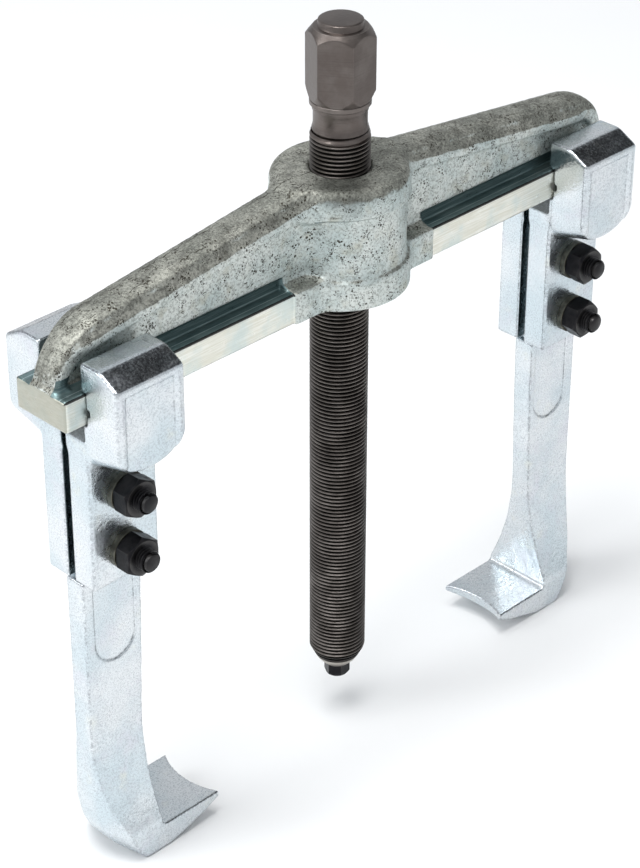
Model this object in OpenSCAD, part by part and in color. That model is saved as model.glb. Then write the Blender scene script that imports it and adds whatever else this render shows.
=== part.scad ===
// Two-arm gear puller with a forged crossbeam, a centre spindle and two sliding clamp legs.
// All sizes are in millimetres. The origin sits on the spindle axis, level with the
// soles of the hooks. X runs along the crossbeam, -Y is the front, +Z is up.

/* [Crossbeam] */
// Overall length of the crossbeam
beam_length = 346; // [240:1:500]
// Width of the machined guide rail
rail_width = 31.2; // [20:0.1:50]
// Height of the guide rail
rail_height = 15; // [8:0.5:30]
// Length left as forged around the hub
rough_length = 86.6; // [70:0.1:140]
// Extra thickness on each side of the as-forged length
rough_extra = 1.2; // [0.5:0.1:3]
// Thickness of the recessed web
web_thickness = 16; // [8:0.5:24]
// Width of the cap band on top of the web
cap_width = 23; // [16:0.5:31]
// Depth of the cap band measured from the crown
cap_depth = 11; // [6:0.5:20]
// Width of the flat on the crown
crown_flat = 8; // [2:0.5:14]
// Drop of the bevel on each side of the crown
crown_drop = 6; // [2:0.5:10]
// Height of the crown line above the rail bottom, at the axis
crown_height = 60.4; // [40:0.1:90]
// Slope of the crown line from the hub to the ends, in degrees
crown_slope = 7.3; // [2:0.01:12]
// Radius of the rounded left end of the beam
left_end_radius = 27; // [10:1:40]
// Radius of the rounded right end of the beam
right_end_radius = 19; // [10:1:40]
// How far the rail stands out past the rounded ends
rail_overhang = 1; // [0.5:0.5:10]
// Width of the rim that closes the web recess at the ends
end_rim = 5; // [2:0.5:12]
// Height of the shelf machined into the foot of the web
shelf_height = 5; // [2:0.5:8]
// Depth of the shelf machined into the foot of the web
shelf_depth = 0.8; // [0.2:0.1:2]

/* [Hub] */
// Diameter of the hub at the waist
hub_diameter = 60; // [45:0.5:90]
// Diameter of the hub just under its top
hub_crown_diameter = 62.4; // [46:0.1:94]
// Diameter of the flange at the foot of the hub
hub_flange_diameter = 63.6; // [46:0.1:96]
// Height of the hub
hub_height = 57.5; // [40:0.5:80]
// Radius of the blends between hub and arms
hub_blend = 9; // [3:0.5:20]
// Diameter of the shallow dish around the bore
hub_dish_diameter = 48; // [34:1:70]
// Depth of the shallow dish around the bore
hub_dish_depth = 1; // [0.5:0.5:6]
// Height of the parting ridge around the hub
hub_ridge_height = 45.5; // [30:0.5:60]

/* [Spindle] */
// Nominal thread diameter
thread_diameter = 27; // [14:1:36]
// Thread pitch
thread_pitch = 2; // [1:0.25:4]
// Depth of the thread grooves
thread_depth = 1.1; // [0.5:0.05:2]
// Threaded length
thread_length = 280; // [150:1:400]
// Width across the flats of the drive hexagon
drive_size = 27; // [14:1:41]
// Height of the drive hexagon with both chamfers
drive_height = 34; // [20:1:50]
// Turn of the drive hexagon about the axis, in degrees
drive_turn = 5; // [0:1:59]
// Diameter of the neck under the drive hexagon
neck_diameter = 24; // [12:0.1:30]
// Diameter of the raised disc on top
disc_diameter = 20; // [10:0.5:26]
// Diameter at the end of the lead-in cone
tip_diameter = 13; // [10:0.5:20]
// Running clearance around the spindle, on the radius
spindle_clearance = 0.05; // [0.02:0.01:0.1]
// Height of the spindle's lower end above the soles
spindle_rest = 28.7; // [20:0.1:180]

/* [Pressure pin] */
// Width across the flats of the pin's hexagon
pin_size = 11; // [8:0.5:14]
// Height of the pin's hexagon
pin_height = 6.4; // [4:0.1:12]
// Diameter of the pin's shank
pin_shank = 8; // [5:0.5:10]
// Length of the pin's shank
pin_shank_length = 12; // [6:0.5:20]

/* [Legs] */
// Height of the rail bottom above the soles of the hooks
reach = 241.5; // [150:0.5:400]
// Distance of the left leg's centre from the axis
left_offset = 143.8; // [70:0.1:160]
// Distance of the right leg's centre from the axis
right_offset = 146.2; // [70:0.1:160]
// Gap between the rail and the sliding jaws
slide_gap = 0.3; // [0.1:0.05:0.6]

/* [Clamp jaws] */
// Width of each jaw along the beam
jaw_width = 37; // [25:0.5:50]
// Distance from the beam's centre plane to the jaw's outer face
jaw_reach = 36; // [28:0.5:45]
// Height of the jaw's top above the rail bottom
jaw_top = 28.5; // [22:0.5:35]
// Overhang of the jaw's lip over the rail
lip_depth = 2.8; // [1:0.1:5]
// Height of the bevel along the cap's upper outer edge
bevel_drop = 6; // [2:0.5:12]
// Width of the bevel along the cap's upper outer edge
bevel_run = 11.5; // [4:0.5:16]
// Distance of the cap's lower front edge below the rail bottom
cap_bottom = 19.5; // [8:0.5:30]
// Distance of the cap's root on the flat plate below the rail bottom
cap_root = 25; // [10:0.5:34]
// Thickness of the flat lower plate, to the centre plane
plate_depth = 15; // [10:0.5:20]
// Height of the jaw below the rail bottom
jaw_drop = 84; // [50:1:120]
// Width of the slit between the two jaws
slit = 3.8; // [1:0.1:6]
// Radius of the relief groove in the jaw's side wall
relief_radius = 2; // [0.5:0.1:3]
// Width of the facet at the ends of the lower lip
facet = 8.5; // [1:0.5:12]

/* [Hook legs] */
// Thickness of the leg bar
bar_thickness = 11; // [5:0.5:14]
// Width of the leg bar below the jaws
bar_width = 32.7; // [20:0.1:45]
// Distance of the bar's middle outwards from the leg's centre
bar_offset = 0.85; // [0:0.05:3]
// Width of the tongue held between the jaws
tongue_width = 25; // [15:0.5:34]
// Inward taper of the bar's inner face down to the hook
bar_taper = 4; // [0:0.5:8]
// Radius of the rounded heel
heel_radius = 45; // [20:1:80]
// Height above the sole at which the heel starts to curve
heel_start = 35; // [10:1:60]
// How far the heel's corners are set back from its middle
heel_setback = 8.5; // [0:0.5:16]
// Width of the foot
foot_width = 38; // [20:0.5:60]
// Length of the toe measured from the leg's centre
toe_length = 46.5; // [30:0.5:70]
// Height of the gripping face above the sole
toe_height = 13.3; // [6:0.1:30]
// Thickness of the toe at its tip
tip_thickness = 2.8; // [1:0.1:8]
// Radius of the concave edge at the toe's tip
tip_arc = 38; // [25:1:120]
// Width of the channel in the face of the leg bar
channel_width = 23; // [8:0.5:30]
// Depth of the channel in the face of the leg bar
channel_depth = 1; // [0.2:0.1:2.5]
// Height of the channel's round lower end above the sole
channel_end = 120; // [60:1:140]

/* [Fasteners] */
// Nominal diameter of the clamp bolts
bolt_diameter = 10; // [6:1:14]
// Width across flats of the nuts and bolt heads
nut_size = 17; // [10:1:24]
// Height of the nuts
nut_height = 8.5; // [5:0.5:14]
// Height of the bolt heads
head_height = 6.4; // [4:0.1:9]
// Thickness of the washers
washer_thickness = 3; // [1:0.1:4]
// Outer diameter of the washers
washer_diameter = 18.6; // [12:0.1:26]
// Length of bolt showing past the nut
bolt_show = 6; // [1:0.5:10]
// Distance of the upper bolt below the rail bottom
upper_bolt = 39.3; // [25:0.1:50]
// Distance of the lower bolt below the rail bottom
lower_bolt = 69; // [50:0.1:80]

/* [Hidden] */
$fn = 96;
slack = 0.05;
over = 1;
half_beam = beam_length / 2;
rail_half = rail_width / 2;
rail_top = reach + rail_height;
crown_top = reach + crown_height;
hub_top = reach + hub_height;
bore_radius = thread_diameter / 2 + spindle_clearance;
thread_radius = thread_diameter / 2;
cone_height = 6;
lead_height = 5;
head_margin = 0.6;
head_chamfer = 5;
foot_chamfer = 4.6;
shoulder_height = 0.5;
neck_rise = 4;
neck_height = 6.5;
collar_height = 1.9;
thread_bottom = spindle_rest + cone_height;
thread_top = thread_bottom + thread_length + over;
neck_bottom = thread_top + shoulder_height + neck_rise;
collar_bottom = neck_bottom + neck_height;
drive_bottom = collar_bottom + collar_height + over;
drive_top = drive_bottom + drive_height;
disc_top = drive_top + 3.5;
jaw_half = jaw_width / 2;
wall = rail_half + slide_gap;
lip_inner = wall - lip_depth - slide_gap;
tongue_top = reach - 10;
bar_top = reach - jaw_drop - 1.5;
outer_face = bar_offset + bar_width / 2;
flare_start = 76.5;
flare_radius = 140;
inner_top = bar_offset - bar_width / 2;
inner_low = inner_top + bar_taper;
root_radius = 3;
cap_arc = 3.5;
cap_corner = 4;
cap_foot = jaw_half - cap_corner;
cap_shoulder = 9;
lip_height = rail_height + slide_gap;
shelf_margin = 9;
shelf_length = half_beam - rough_length / 2 - 2 * shelf_margin;
cap_underside = reach + crown_height - 14;
arm_blend_top = hub_top - 7;
bore_chamfer = 1.6;
crest_taper = 2.5;
disc_chamfer = 0.8;
nut_bevel = 1;
bolt_clearance = 0.6;
washer_clearance = 0.5;
groove_pitches = floor(thread_length / thread_pitch);
zinc = [0.78, 0.84, 0.88];
forged = [0.62, 0.63, 0.58];
burnished = [0.24, 0.2, 0.18];
black_oxide = [0.08, 0.08, 0.08];
grey_steel = [0.45, 0.45, 0.4];

// Extrudes an outline drawn in X and Z along Y, centred on the middle plane
module along_y(depth) {
  rotate([90, 0, 0])
    translate([0, 0, -depth / 2])
      linear_extrude(depth)
        children();
}

// Extrudes an outline drawn in Y and Z along X, centred on the middle plane
module along_x(depth) {
  rotate([90, 0, 90])
    translate([0, 0, -depth / 2])
      linear_extrude(depth)
        children();
}

// Upper outline of one arm, from the axis to the rounded end, less a margin on each side
module arm_outline(crown_margin, end_margin, end_radius) {
  arc_x = half_beam - rail_overhang - end_radius;
  round = end_radius - end_margin;
  top_line = crown_top - crown_margin;
  mid_z = top_line - tan(crown_slope) * arc_x - round / cos(crown_slope);
  base = reach + over;
  start = hub_dish_diameter / 2 + over;
  polygon([
    [start, base],
    [start, top_line - tan(crown_slope) * start],
    [arc_x + round * sin(crown_slope), mid_z + round * cos(crown_slope)],
    [arc_x, mid_z],
    [arc_x + round, mid_z],
    [arc_x + round, base]
  ]);
  intersection() {
    translate([arc_x, mid_z])
      circle(round);
    translate([arc_x - round, base])
      square([2 * round, crown_height]);
  }
}

// Solid that gives one arm its bevelled crown
module crown_roof() {
  half_cap = cap_width / 2;
  translate([0, 0, crown_top])
    rotate([0, crown_slope, 0])
      translate([beam_length / 4, 0, 0])
        along_x(beam_length)
          polygon([
            [-half_cap, -2 * crown_height],
            [half_cap, -2 * crown_height],
            [half_cap, -crown_drop],
            [crown_flat / 2, 0],
            [-crown_flat / 2, 0],
            [-half_cap, -crown_drop]
          ]);
}

// One arm above the rail, with the radius of its rounded end
module arm(end_radius) {
  intersection() {
    union() {
      along_y(web_thickness)
        arm_outline(1, 1, end_radius);
      along_y(cap_width)
        difference() {
          arm_outline(0, 0, end_radius);
          arm_outline(cap_depth, end_rim, end_radius);
        }
    }
    crown_roof();
  }
}

// Concave corner between the round hub and a straight flank
module corner_blend(round_radius, flank, blend) {
  centre_y = flank + blend - 0.2;
  span = round_radius + blend - 0.3;
  centre_x = sqrt(span * span - centre_y * centre_y);
  difference() {
    polygon([[0, 0], [centre_x, 0], [centre_x, centre_y]]);
    translate([centre_x, centre_y])
      circle(blend);
  }
}

// The four corner blends at one level of the hub
module hub_blends(round_radius, flank, bottom, top) {
  for (side = [0, 1])
    for (face = [0, 1])
      mirror([side, 0, 0])
        mirror([0, face, 0])
          translate([0, 0, bottom])
            linear_extrude(top - bottom)
              corner_blend(round_radius, flank, hub_blend);
}

// Turned shape of the hub before boring
module hub() {
  waist = hub_diameter / 2;
  crown = hub_crown_diameter / 2;
  flange = hub_flange_diameter / 2;
  dish = hub_dish_diameter / 2;
  rotate_extrude()
    polygon([
      [0, reach],
      [flange - 1, reach],
      [flange, reach + 1],
      [flange, rail_top - 3],
      [flange - 0.7, rail_top - 1],
      [waist, rail_top + 4],
      [waist, reach + hub_ridge_height - 4],
      [crown + 0.4, reach + hub_ridge_height],
      [crown, hub_top - 5],
      [crown - 1.2, hub_top - 2],
      [crown - 4, hub_top],
      [dish, hub_top - 0.5],
      [bore_radius + 2, hub_top - hub_dish_depth],
      [0, hub_top - hub_dish_depth]
    ]);
}

// Forged crossbeam with its machined rail
module crossbeam() {
  color(forged)
    difference() {
      union() {
        translate([-half_beam, -rail_half, reach])
          cube([beam_length, rail_width, rail_height]);
        translate([-rough_length / 2, -rail_half - rough_extra, reach])
          cube([rough_length, rail_width + 2 * rough_extra, rail_height]);
        arm(right_end_radius);
        mirror([1, 0, 0])
          arm(left_end_radius);
        hub();
        hub_blends(hub_flange_diameter / 2, rail_half + rough_extra, reach, rail_top);
        hub_blends(hub_diameter / 2, web_thickness / 2, reach + over, cap_underside);
        hub_blends(hub_diameter / 2, cap_width / 2, cap_underside, arm_blend_top);
      }
      for (face = [-1, 1])
        for (side = [-1, 1])
          translate([side * (half_beam + rough_length / 2) / 2, face * rail_half, rail_top + shelf_height / 2])
            cube([shelf_length, rail_width - web_thickness + 2 * shelf_depth, shelf_height], center = true);
      translate([0, 0, reach - over])
        cylinder(h = crown_height, r = bore_radius);
      translate([0, 0, hub_top - hub_dish_depth - bore_chamfer + slack])
        cylinder(h = bore_chamfer, r1 = bore_radius, r2 = bore_radius + bore_chamfer);
      translate([0, 0, reach - over])
        cylinder(h = over + bore_chamfer, r1 = bore_radius + over + bore_chamfer, r2 = bore_radius);
    }
}

// Radius of the thread crests at a height above the start of the thread
function crest(height) = min(thread_radius, thread_radius - crest_taper * (1 - height / lead_height));

// Turned outline of the spindle with its thread drawn as closed grooves
module spindle_outline() {
  polygon(concat(
    [[0, spindle_rest], [tip_diameter / 2, spindle_rest]],
    [for (turn = [0 : groove_pitches - 1])
      for (step = [0 : 2])
        let (height = thread_pitch * (turn + [0, 0.25, 0.625][step]))
          [crest(height) - [0, 0, thread_depth][step], thread_bottom + height]],
    [
      [thread_radius, thread_top - over],
      [thread_radius - 0.5, thread_top],
      [thread_radius - 0.5, thread_top + shoulder_height],
      [neck_diameter / 2, neck_bottom],
      [neck_diameter / 2, neck_bottom + neck_height - 1],
      [neck_diameter / 2 + 0.5, collar_bottom],
      [thread_radius - 0.3, collar_bottom + 0.6],
      [thread_radius - 0.3, collar_bottom + collar_height],
      [thread_radius - 1.2, collar_bottom + collar_height + 0.3],
      [thread_radius - 1.2, drive_bottom],
      [0, drive_bottom]
    ]
  ));
}

// Drive hexagon with chamfered corners, ring and top disc
module drive_head() {
  corner = drive_size / cos(30) / 2;
  intersection() {
    translate([0, 0, drive_bottom - over / 2])
      rotate([0, 0, drive_turn])
        cylinder(h = drive_height + over / 2, r = corner, $fn = 6);
    rotate_extrude()
      polygon([
        [0, drive_bottom - over / 2],
        [thread_radius - 0.2, drive_bottom - over / 2],
        [thread_radius - 0.2, drive_bottom],
        [corner + head_margin, drive_bottom + foot_chamfer],
        [corner + head_margin, drive_top - head_chamfer],
        [thread_radius - 1.2, drive_top],
        [0, drive_top]
      ]);
  }
  translate([0, 0, drive_top - over])
    cylinder(h = disc_top - drive_top + over - disc_chamfer, d = disc_diameter);
  translate([0, 0, disc_top - disc_chamfer])
    cylinder(h = disc_chamfer, d1 = disc_diameter, d2 = disc_diameter - 2 * disc_chamfer);
}

// Centre spindle with its drive hexagon
module spindle() {
  color(burnished)
    difference() {
      union() {
        rotate_extrude()
          spindle_outline();
        drive_head();
      }
      translate([0, 0, spindle_rest - over])
        cylinder(h = pin_shank_length + over + slide_gap, r = pin_shank / 2 + spindle_clearance);
    }
}

// Hexagonal pressure pin that turns freely in the spindle's lower end
module pressure_pin() {
  pin_corner = pin_size / cos(30) / 2;
  pin_top = spindle_rest - slide_gap;
  color(black_oxide) {
    intersection() {
      translate([0, 0, pin_top - pin_height])
        rotate([0, 0, drive_turn])
          cylinder(h = pin_height, r = pin_corner, $fn = 6);
      translate([0, 0, pin_top - pin_height])
        cylinder(h = pin_height, r1 = pin_corner - 1.4, r2 = pin_corner - 1.4 + pin_height);
    }
    translate([0, 0, pin_top - over])
      cylinder(h = pin_shank_length + over, r = pin_shank / 2);
  }
}

// End profile of one jaw from the centre plane outwards, heights from the rail bottom
module jaw_profile() {
  polygon([
    [slit / 2, -slide_gap],
    [wall, -slide_gap],
    [wall, lip_height],
    [lip_inner, lip_height],
    [lip_inner, jaw_top - 1],
    [lip_inner + 1, jaw_top],
    [jaw_reach - bevel_run, jaw_top],
    [jaw_reach, jaw_top - bevel_drop],
    [jaw_reach, -cap_bottom],
    [plate_depth, -cap_root],
    [slit / 2, -cap_root]
  ]);
}

// Face outline of the jaw's cap with its tapered lower corners and curved lower edge
module cap_outline(bottom) {
  shoulder = cap_shoulder - cap_bottom + bottom;
  polygon(concat(
    [[-jaw_half, -shoulder], [-jaw_half, jaw_top + over], [jaw_half, jaw_top + over], [jaw_half, -shoulder]],
    [for (part = [1 : -0.25 : -1]) [part * cap_foot, -bottom + cap_arc * part * part]]
  ));
}

// Room taken by the cap: its lower edge drops from the front face to the plate
module cap_room() {
  hull() {
    translate([0, jaw_reach, 0])
      along_y(slack)
        cap_outline(cap_bottom);
    translate([0, plate_depth - over, 0])
      along_y(slack)
        cap_outline(cap_root);
    along_y(slack)
      cap_outline(cap_root);
  }
}

// One clamp jaw on the back side, centred on its leg
module jaw() {
  color(zinc)
    translate([0, 0, reach])
      difference() {
        union() {
          intersection() {
            along_x(jaw_width)
              jaw_profile();
            cap_room();
          }
          translate([-jaw_half, slit / 2, -jaw_drop])
            cube([jaw_width, plate_depth - slit / 2, jaw_drop - slide_gap]);
        }
        translate([-tongue_width / 2 - slack, 0, -jaw_drop - over])
          cube([tongue_width + 2 * slack, bar_thickness / 2 + slack, jaw_drop + over - 10 + slack]);
        translate([0, wall, rail_height * 0.4])
          rotate([0, 90, 0])
            cylinder(h = jaw_width + over, r = relief_radius, center = true);
        for (side = [-1, 1])
          mirror([side < 0 ? 1 : 0, 0, 0])
            translate([0, plate_depth / 2 + 0.6, 0])
              along_y(plate_depth - 2)
                polygon([
                  [jaw_half - facet, over],
                  [jaw_half - facet, -slide_gap],
                  [jaw_half, -facet - slide_gap],
                  [jaw_half + over, -facet - slide_gap],
                  [jaw_half + over, over]
                ]);
        for (drop = [upper_bolt, lower_bolt])
          translate([0, 0, -drop])
            rotate([90, 0, 0])
              cylinder(h = 4 * jaw_reach, d = bolt_diameter + bolt_clearance, center = true);
      }
}

// Side outline of the foot and toe, +X outwards
module foot_side() {
  tip = toe_length + over;
  intersection() {
    union() {
      polygon([
        [outer_face, 0],
        [outer_face, flare_start],
        [inner_top, flare_start],
        [inner_low, toe_height],
        [-tip, toe_height],
        [-tip, toe_height - tip_thickness],
        [-toe_length + 8, toe_height * 0.48],
        [inner_low - 13, toe_height * 0.18],
        [inner_low - 4, 0]
      ]);
      difference() {
        polygon([
          [inner_low + 2, toe_height - over],
          [inner_low + 2, toe_height + root_radius],
          [inner_low - root_radius, toe_height + root_radius],
          [inner_low - root_radius, toe_height - over]
        ]);
        translate([inner_low - root_radius, toe_height + root_radius])
          circle(root_radius);
      }
    }
    union() {
      translate([outer_face - heel_radius, heel_start])
        circle(heel_radius);
      translate([outer_face - 2 * toe_length, heel_start])
        square([2 * toe_length, flare_start]);
      translate([-2 * toe_length, 0])
        square([2 * toe_length, flare_start]);
    }
  }
}

// Foot seen from above, with the heel's corners set back
module foot_plan() {
  half_bar = bar_thickness / 2;
  half_foot = foot_width / 2;
  polygon([
    [-2 * toe_length, half_foot + over],
    [outer_face - heel_setback, half_foot + over],
    [outer_face - heel_setback, half_foot],
    [outer_face + slack, half_bar],
    [outer_face + slack, -half_bar],
    [outer_face - heel_setback, -half_foot],
    [outer_face - heel_setback, -half_foot - over],
    [-2 * toe_length, -half_foot - over]
  ]);
}

// Front outline of the flared foot
module foot_front() {
  difference() {
    translate([-foot_width / 2, 0])
      square([foot_width, flare_start]);
    for (side = [-1, 1])
      translate([side * (bar_thickness / 2 + flare_radius), flare_start])
        circle(flare_radius);
  }
}

// Hook leg with its tongue, +X outwards
module hook() {
  color(zinc)
    difference() {
      union() {
        intersection() {
          along_y(foot_width)
            foot_side();
          along_x(4 * toe_length)
            foot_front();
          translate([0, 0, -over])
            linear_extrude(flare_start + 2 * over)
              foot_plan();
        }
        translate([inner_top, -bar_thickness / 2, flare_start])
          cube([bar_width, bar_thickness, bar_top - flare_start]);
        translate([-tongue_width / 2, -bar_thickness / 2, bar_top - over])
          cube([tongue_width, bar_thickness, tongue_top - bar_top + over]);
      }
      translate([-toe_length + 4.9 - tip_arc, 0, -over])
        cylinder(h = toe_height + 2 * over, r = tip_arc);
      for (side = [-1, 1])
        translate([0, side * (bar_thickness / 2 - channel_depth + over), 0])
          along_y(2 * over) {
            translate([0, channel_end])
              circle(d = channel_width);
            translate([-channel_width / 2, channel_end])
              square([channel_width, bar_top - channel_end]);
          }
      for (drop = [upper_bolt, lower_bolt])
        translate([0, 0, reach - drop])
          rotate([90, 0, 0])
            cylinder(h = 2 * bar_thickness, d = bolt_diameter + bolt_clearance, center = true);
    }
}

// Places a bolt-line part at a height below the rail, with its axis turned to face the front
module on_bolt_line(drop, start) {
  translate([0, -start, reach - drop])
    rotate([90, 0, 0])
      children();
}

// Hexagon with chamfered corners, vertices up
module chamfered_hexagon(height, both) {
  corner = nut_size / cos(30) / 2;
  bevel = nut_bevel;
  intersection() {
    rotate([0, 0, 30])
      cylinder(h = height, r = corner, $fn = 6);
    rotate_extrude()
      polygon([
        [0, 0],
        [both ? corner - bevel : corner, 0],
        [corner, both ? bevel * 0.6 : 0],
        [corner, height - bevel * 0.6],
        [corner - bevel, height],
        [0, height]
      ]);
  }
}

// Clamp bolt with its head at the back
module bolt(drop) {
  shank = 2 * plate_depth + washer_thickness + nut_height + bolt_show;
  color(black_oxide)
    on_bolt_line(drop, -plate_depth) {
      cylinder(h = shank - nut_bevel, d = bolt_diameter);
      translate([0, 0, shank - nut_bevel])
        cylinder(h = nut_bevel, d1 = bolt_diameter, d2 = bolt_diameter - 2 * nut_bevel);
      mirror([0, 0, 1])
        chamfered_hexagon(head_height, false);
    }
}

// Nut on the front end of a clamp bolt
module nut(drop) {
  color(black_oxide)
    on_bolt_line(drop, plate_depth + washer_thickness)
      difference() {
        chamfered_hexagon(nut_height, true);
        translate([0, 0, -over])
          cylinder(h = nut_height + 2 * over, d = bolt_diameter + 2 * slack);
      }
}

// Washer between a nut and the front jaw
module washer(drop) {
  color(grey_steel)
    on_bolt_line(drop, plate_depth)
      difference() {
        cylinder(h = washer_thickness, d = washer_diameter);
        translate([0, 0, -over])
          cylinder(h = washer_thickness + 2 * over, d = bolt_diameter + washer_clearance);
      }
}

// Places a leg part on the left arm
module at_left() {
  translate([-left_offset, 0, 0])
    mirror([1, 0, 0])
      children();
}

// Places a leg part on the right arm
module at_right() {
  translate([right_offset, 0, 0])
    children();
}

module left_front_jaw() { at_left() mirror([0, 1, 0]) jaw(); }
module left_back_jaw() { at_left() jaw(); }
module left_hook() { at_left() hook(); }
module left_upper_bolt() { at_left() bolt(upper_bolt); }
module left_lower_bolt() { at_left() bolt(lower_bolt); }
module left_upper_nut() { at_left() nut(upper_bolt); }
module left_lower_nut() { at_left() nut(lower_bolt); }
module left_upper_washer() { at_left() washer(upper_bolt); }
module left_lower_washer() { at_left() washer(lower_bolt); }
module right_front_jaw() { at_right() mirror([0, 1, 0]) jaw(); }
module right_back_jaw() { at_right() jaw(); }
module right_hook() { at_right() hook(); }
module right_upper_bolt() { at_right() bolt(upper_bolt); }
module right_lower_bolt() { at_right() bolt(lower_bolt); }
module right_upper_nut() { at_right() nut(upper_bolt); }
module right_lower_nut() { at_right() nut(lower_bolt); }
module right_upper_washer() { at_right() washer(upper_bolt); }
module right_lower_washer() { at_right() washer(lower_bolt); }

crossbeam();
spindle();
pressure_pin();
left_front_jaw();
left_back_jaw();
left_hook();
left_upper_bolt();
left_lower_bolt();
left_upper_nut();
left_lower_nut();
left_upper_washer();
left_lower_washer();
right_front_jaw();
right_back_jaw();
right_hook();
right_upper_bolt();
right_lower_bolt();
right_upper_nut();
right_lower_nut();
right_upper_washer();
right_lower_washer();
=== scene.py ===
"""Gear puller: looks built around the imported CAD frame.

Forged and cast pieces are shaped as distance fields in millimetres and meshed on a grid, so that
they get the soft blends and rounded edges of a forging. Turned and threaded pieces are swept.
"""
import math

import bpy
import numpy as np
from mathutils import Matrix, Vector


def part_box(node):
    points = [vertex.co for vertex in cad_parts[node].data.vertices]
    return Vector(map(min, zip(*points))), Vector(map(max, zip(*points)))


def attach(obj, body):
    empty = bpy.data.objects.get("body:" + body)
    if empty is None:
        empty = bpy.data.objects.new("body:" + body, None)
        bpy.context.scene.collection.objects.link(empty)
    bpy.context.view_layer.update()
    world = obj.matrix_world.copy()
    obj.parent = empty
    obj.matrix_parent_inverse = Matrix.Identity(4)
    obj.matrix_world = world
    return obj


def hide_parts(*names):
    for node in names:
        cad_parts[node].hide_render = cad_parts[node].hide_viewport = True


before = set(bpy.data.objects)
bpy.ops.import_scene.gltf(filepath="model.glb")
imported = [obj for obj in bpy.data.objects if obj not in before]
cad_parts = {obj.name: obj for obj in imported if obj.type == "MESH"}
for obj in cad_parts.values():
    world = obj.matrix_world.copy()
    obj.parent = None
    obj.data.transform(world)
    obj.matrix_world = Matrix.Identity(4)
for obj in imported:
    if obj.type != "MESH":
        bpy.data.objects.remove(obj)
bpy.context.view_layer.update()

MM = 0.001


# ---------------------------------------------------------------- sizes, in millimetres

def box_mm(node):
    """Lowest and highest corner of a CAD node, in millimetres."""
    low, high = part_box(node)
    return np.array(low) / MM, np.array(high) / MM


beam_low, beam_high = box_mm("crossbeam")
spindle_low, _ = box_mm("spindle")
pin_low, pin_high = box_mm("pressure_pin")
jaw_low, jaw_high = box_mm("right_front_jaw")
hook_low, hook_high = box_mm("right_hook")

# crossbeam
REACH = beam_low[2]                         # rail bottom above the soles
HALF_BEAM = beam_high[0]
RAIL_HALF = 15.6
RAIL_HEIGHT = 15.0
ROUGH_HALF = 43.3                           # as-forged length on each side of the axis
ROUGH_EXTRA = 1.2                           # how much wider the beam is where it is left as forged
CROWN_HEIGHT = 60.4                         # crown line above the rail bottom, at the axis
CROWN_SLOPE = math.radians(7.3)
CROWN_DROP = 6.0                            # height of the bevel beside the crown's flat
CROWN_FLAT_HALF = 4.0
CAP_HALF = 11.5
CAP_DEPTH = 10.6
WEB_HALF = 8.3
END_OVERHANG = 1.0
END_RIM = 4.6                               # width of the rim that closes the web recess
END_RADIUS = {"left": 27.0, "right": 19.0}
SHELF_FACE = 7.4                            # milled foot of the web, from the centre plane
SHELF_HEIGHT = 5.2

# hub
HUB_HEIGHT = 57.5
WAIST_RADIUS = 29.8
FLANGE_RADIUS = 31.8
RING_RADIUS = 31.4
RING_BOTTOM = 44.8
RIDGE_RADIUS = 31.75
RIDGE_BOTTOM = 44.9
RIDGE_TOP = 46.1
DISH_DEPTH = 0.8                            # the hub's top is very slightly hollow
DISH_RADIUS = 360.0

# spindle and pin
THREAD_RADIUS = 13.5
THREAD_PITCH = 2.0
BORE_RADIUS = THREAD_RADIUS + 0.05
SPINDLE_REST = spindle_low[2]
THREAD_BOTTOM = SPINDLE_REST + 6.0
THREAD_TOP = THREAD_BOTTOM + 279.0
NECK_RADIUS = 12.0
COLLAR_RADIUS = 13.65
DRIVE_BOTTOM = THREAD_TOP + 2.0 + 4.5 + 5.0 + 4.4
DRIVE_TOP = DRIVE_BOTTOM + 34.0
DRIVE_SIZE = 27.0                           # across the flats
DRIVE_TURN = math.radians(5)
PIN_SIZE = 11.0
PIN_HEIGHT = 6.4
PIN_SHANK = 4.0

# jaws
JAW_HALF = (jaw_high[0] - jaw_low[0]) / 2
JAW_REACH = -jaw_low[1]
JAW_DROP = REACH - jaw_low[2]
JAW_TOP = jaw_high[2] - REACH
JAW_FACET = 8.5
CAP_BOTTOM = 19.5                           # lower edge of the cap, from the rail bottom
CAP_ROOT_DROP = 5.5                         # how much lower the cap meets the plate
BEVEL_RUN = 11.5
SLIDE_GAP = 0.3
SLIT_HALF = 1.9
LIP_DEPTH = 3.1
RELIEF_RADIUS = 2.0
PLATE_DEPTH = 15.0

# hook legs
LEG_CENTRE = {"left": -143.8, "right": 146.2}
BAR_THICKNESS = 11.0
BAR_OUTER = 17.2
BAR_INNER = -15.5
BAR_TAPER = 4.0
BAR_TOP = REACH - JAW_DROP - 1.5
TONGUE_HALF = 12.5
TONGUE_TOP = REACH - 10
FOOT_HALF = (hook_high[1] - hook_low[1]) / 2
HEEL_RADIUS = 45.0
HEEL_START = 35.0
FLARE_RADIUS = 140.0
FLARE_START = 76.5
CHANNEL_HALF = 11.5
CHANNEL_DEPTH = 0.9
CHANNEL_END = 120.0                         # centre of the channel's round end above the soles
TOE_HEIGHT = 13.3
TOE_LENGTH = 46.5
TIP_THICKNESS = 2.8
TIP_ARC = 38.0

# fasteners
UPPER_BOLT = 39.3
LOWER_BOLT = 69.0
BOLT_RADIUS = 4.97
BOLT_PITCH = 1.5
BOLT_SHOW = 6.0
HEAD_HEIGHT = 6.4
NUT_SIZE = 17.0
NUT_HEIGHT = 8.5
WASHER_THICKNESS = 3.0
WASHER_RADIUS = 9.3
WASHER_BORE = 5.25

# steps of the meshing grids
BEAM_GRID = 0.89
JAW_GRID = 0.6
HOOK_GRID = 0.65


# ---------------------------------------------------------------- distance fields

def length2(a, b):
    return np.sqrt(a * a + b * b)


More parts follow.
